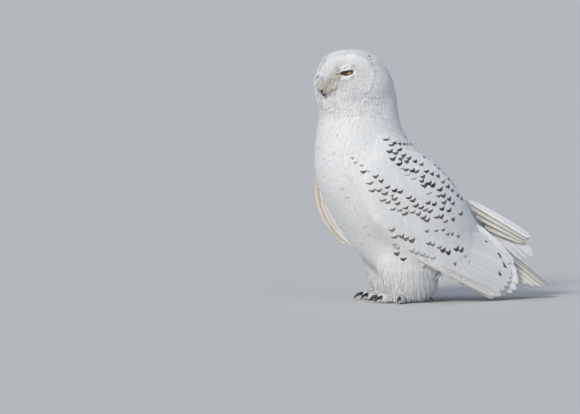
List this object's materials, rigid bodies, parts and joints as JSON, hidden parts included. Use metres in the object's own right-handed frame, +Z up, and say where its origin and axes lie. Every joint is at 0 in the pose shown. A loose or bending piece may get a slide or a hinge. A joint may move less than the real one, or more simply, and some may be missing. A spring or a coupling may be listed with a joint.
{
  "type": "snowy owl",
  "caption": "Perched white owl, life size, with loosely folded wings, a turned round head, yellow eyes, a hooked black bill, a long wedge tail and feathered feet.",
  "frame": {"origin": "Centre of the footprint of the owl's box, at the level the feet stand on.", "axes": "+Z up; the body faces -X, so the tail is toward +X; the owl's own left side is toward -Y."},
  "size_m": [0.4438, 0.2068, 0.4531],
  "materials": {
    "plumage": "soft matt white feathers with sparse black-brown bars",
    "flight_feather": "smooth satin white flight feathers with brown bars near the tips",
    "horn": "smooth black horn, half gloss",
    "iris": "wet glossy amber yellow with a black pupil"
  },
  "bodies": {
    "root": {"eye_left": "iris", "eye_right": "iris", "bill_upper": "horn", "bill_lower": "horn", "head": "plumage", "wing_left": "plumage", "wing_right": "plumage", "neck": "plumage", "trunk": "plumage", "tail": "flight_feather", "wing_left_tip": "flight_feather", "leg_left": "plumage", "foot_left": "plumage", "claw_left_1": "horn", "claw_left_2": "horn", "claw_left_3": "horn", "claw_left_4": "horn", "wing_right_tip": "flight_feather", "leg_right": "plumage", "foot_right": "plumage", "claw_right_1": "horn", "claw_right_2": "horn", "claw_right_3": "horn", "claw_right_4": "horn"}
  },
  "joints": []
}
